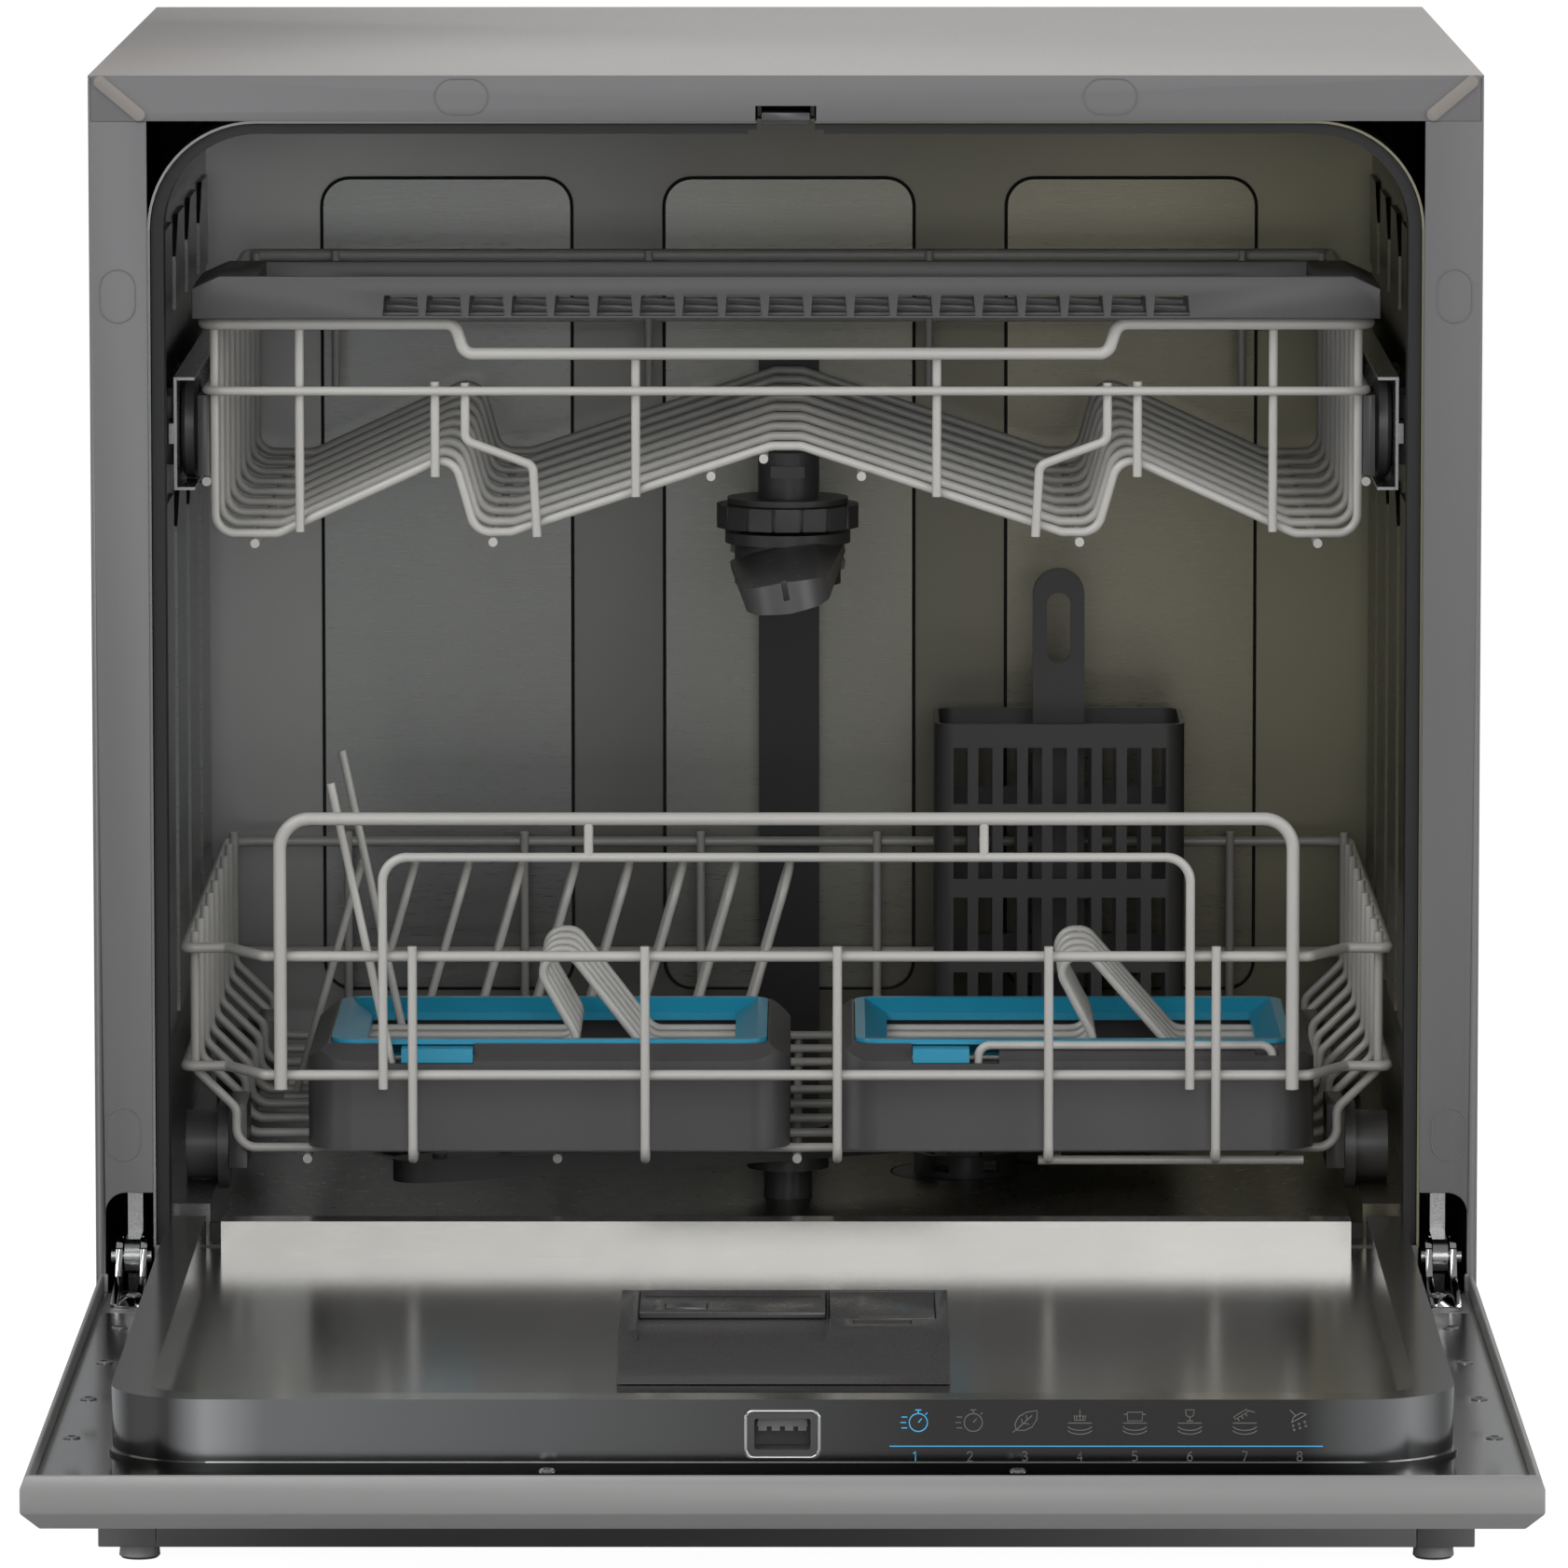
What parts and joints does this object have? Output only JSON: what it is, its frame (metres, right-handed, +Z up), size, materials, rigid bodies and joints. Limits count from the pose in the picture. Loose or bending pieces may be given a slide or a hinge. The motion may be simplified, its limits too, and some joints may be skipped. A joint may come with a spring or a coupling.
{
  "type": "countertop dishwasher",
  "caption": "Compact free-standing dishwasher with a drop-down door, two pull-out wire racks, a cutlery tray, spray arms and a steel tub.",
  "frame": {"origin": "middle of the footprint of the appliance with its door open and level, at the height of the feet's undersides", "axes": "+Z up, +Y from the open door's front edge towards the rear panel, +X to the right of someone who stands in front of the appliance"},
  "size_m": [0.55, 0.967, 0.594],
  "materials": {
    "painted_grey": "satin grey enamel",
    "painted_top": "satin light grey enamel",
    "tub_steel": "brushed stainless steel",
    "liner_steel": "polished stainless steel",
    "chrome": "polished",
    "rubber": "matte black rubber",
    "dark_plastic": "dark grey moulded plastic",
    "coated_wire": "light grey plastic coating on steel wire",
    "blue_plastic": "blue moulded plastic",
    "board": "printed circuit board",
    "light_plastic": "light grey moulded plastic",
    "motor": "grey motor housing"
  },
  "bodies": {
    "cabinet": {"top_panel": "painted_top", "side_panels": "painted_grey", "rear_panel": "painted_grey", "plinth": "painted_grey", "base_tray": "dark_plastic", "feet": "rubber", "tub_ceiling": "tub_steel", "tub_sides": "tub_steel", "tub_back": "tub_steel", "tub_floor": "tub_steel", "door_gasket": "rubber", "water_duct": "rubber", "sump": "dark_plastic", "wash_pump": "motor", "drain_pump": "motor", "softener": "light_plastic", "inlet_valve": "motor", "drain_outlet": "dark_plastic", "cord_gland": "rubber", "hinge_brackets": "liner_steel", "rail_guides": "dark_plastic"},
    "catch": {"door_catch": "dark_plastic"},
    "filter": {"filter": "dark_plastic"},
    "salt_cap": {"salt_cap": "dark_plastic"},
    "rails": {"upper_rails": "liner_steel"},
    "lower_arm": {"lower_spray_arm": "dark_plastic"},
    "door": {"door_panel": "painted_grey", "door_liner": "liner_steel", "control_board": "board", "latch_bezel": "chrome", "hinge_arms": "chrome", "dispenser": "dark_plastic"},
    "detergent_lid": {"detergent_lid": "dark_plastic"},
    "lid_button": {"lid_button": "dark_plastic"},
    "rinse_cap": {"rinse_cap": "dark_plastic"},
    "lower_rack": {"lower_rack_floor": "coated_wire", "lower_rack_sides": "coated_wire", "lower_rack_front": "coated_wire", "lower_rack_back": "coated_wire", "plate_tines": "coated_wire", "plate_trays": "dark_plastic", "tray_inserts": "blue_plastic", "wheel_brackets": "dark_plastic"},
    "basket": {"cutlery_basket": "dark_plastic"},
    "wheel_front_left": {"wheel_front_left": "dark_plastic"},
    "wheel_front_right": {"wheel_front_right": "dark_plastic"},
    "wheel_rear_left": {"wheel_rear_left": "dark_plastic"},
    "wheel_rear_right": {"wheel_rear_right": "dark_plastic"},
    "upper_rack": {"upper_rack_floor": "coated_wire", "upper_rack_sides": "coated_wire", "upper_rack_ends": "coated_wire", "wheel_carriers": "dark_plastic", "spray_feed": "dark_plastic", "hub_nut": "dark_plastic"},
    "roller_front_left": {"roller_front_left": "dark_plastic"},
    "roller_front_right": {"roller_front_right": "dark_plastic"},
    "roller_rear_left": {"roller_rear_left": "dark_plastic"},
    "roller_rear_right": {"roller_rear_right": "dark_plastic"},
    "upper_arm": {"upper_spray_arm": "dark_plastic"},
    "cutlery_tray": {"cutlery_tray": "dark_plastic"}
  },
  "joints": [
    {"name": "door_hinge", "type": "hinge", "parent": "cabinet", "child": "door", "pos_m": [0, -0.0125, 0.123], "axis": [-1, 0, 0], "range_deg": [0, 90]},
    {"name": "catch_swing", "type": "hinge", "parent": "cabinet", "child": "catch", "pos_m": [0, 0.0215, 0.5805], "axis": [-1, 0, 0], "range_deg": [0, 3]},
    {"name": "lower_rack_slide", "type": "slide", "parent": "cabinet", "child": "lower_rack", "axis": [0, 1, 0], "range_m": [-0.286, 0]},
    {"name": "upper_rack_slide", "type": "slide", "parent": "cabinet", "child": "upper_rack", "axis": [0, 1, 0], "range_m": [-0.25, 0]},
    {"name": "rail_slide", "type": "slide", "parent": "cabinet", "child": "rails", "axis": [0, 1, 0], "range_m": [-0.225, 0]},
    {"name": "cutlery_tray_slide", "type": "slide", "parent": "upper_rack", "child": "cutlery_tray", "axis": [0, 1, 0], "range_m": [0, 0.1]},
    {"name": "basket_lift", "type": "slide", "parent": "lower_rack", "child": "basket", "axis": [0, 0, 1], "range_m": [0, 0.035]},
    {"name": "detergent_lid_slide", "type": "slide", "parent": "door", "child": "detergent_lid", "axis": [0, -1, 0], "range_m": [0, 0.045]},
    {"name": "lid_button_press", "type": "slide", "parent": "detergent_lid", "child": "lid_button", "axis": [0, 0, -1], "range_m": [0, 0.0015], "stiffness_N_per_m": 200},
    {"name": "rinse_cap_hinge", "type": "hinge", "parent": "door", "child": "rinse_cap", "pos_m": [0, -0.2265, 0.1417], "axis": [-1, 0, 0], "range_deg": [0, 100]},
    {"name": "filter_twist", "type": "hinge", "parent": "cabinet", "child": "filter", "pos_m": [0.075, 0.2885, 0.112], "axis": [0, 0, 1], "range_deg": [0, 90]},
    {"name": "salt_cap_screw", "type": "hinge", "parent": "cabinet", "child": "salt_cap", "pos_m": [-0.15, 0.3335, 0.112], "axis": [0, 0, 1], "range_deg": [0, 540]},
    {"name": "lower_arm_spin", "type": "hinge", "parent": "cabinet", "child": "lower_arm", "pos_m": [0, 0.2185, 0.13], "axis": [0, 0, 1], "continuous": true},
    {"name": "upper_arm_spin", "type": "hinge", "parent": "upper_rack", "child": "upper_arm", "pos_m": [0, 0.2185, 0.377], "axis": [0, 0, 1], "continuous": true},
    {"name": "wheel_front_left_turn", "type": "hinge", "parent": "lower_rack", "child": "wheel_front_left", "pos_m": [-0.236, 0.074, 0.1553], "axis": [1, 0, 0], "continuous": true},
    {"name": "wheel_front_right_turn", "type": "hinge", "parent": "lower_rack", "child": "wheel_front_right", "pos_m": [0.236, 0.074, 0.1553], "axis": [1, 0, 0], "continuous": true},
    {"name": "wheel_rear_left_turn", "type": "hinge", "parent": "lower_rack", "child": "wheel_rear_left", "pos_m": [-0.236, 0.32, 0.1553], "axis": [1, 0, 0], "continuous": true},
    {"name": "wheel_rear_right_turn", "type": "hinge", "parent": "lower_rack", "child": "wheel_rear_right", "pos_m": [0.236, 0.32, 0.1553], "axis": [1, 0, 0], "continuous": true},
    {"name": "roller_front_left_turn", "type": "hinge", "parent": "upper_rack", "child": "roller_front_left", "pos_m": [-0.2383, 0.05099, 0.45], "axis": [1, 0, 0], "continuous": true},
    {"name": "roller_front_right_turn", "type": "hinge", "parent": "upper_rack", "child": "roller_front_right", "pos_m": [0.2383, 0.05099, 0.45], "axis": [1, 0, 0], "continuous": true},
    {"name": "roller_rear_left_turn", "type": "hinge", "parent": "upper_rack", "child": "roller_rear_left", "pos_m": [-0.2383, 0.3203, 0.45], "axis": [1, 0, 0], "continuous": true},
    {"name": "roller_rear_right_turn", "type": "hinge", "parent": "upper_rack", "child": "roller_rear_right", "pos_m": [0.2383, 0.3203, 0.45], "axis": [1, 0, 0], "continuous": true}
  ],
  "couplings": [
    {"joint": "rail_slide", "follows": "upper_rack_slide", "ratio": 0.9}
  ]
}
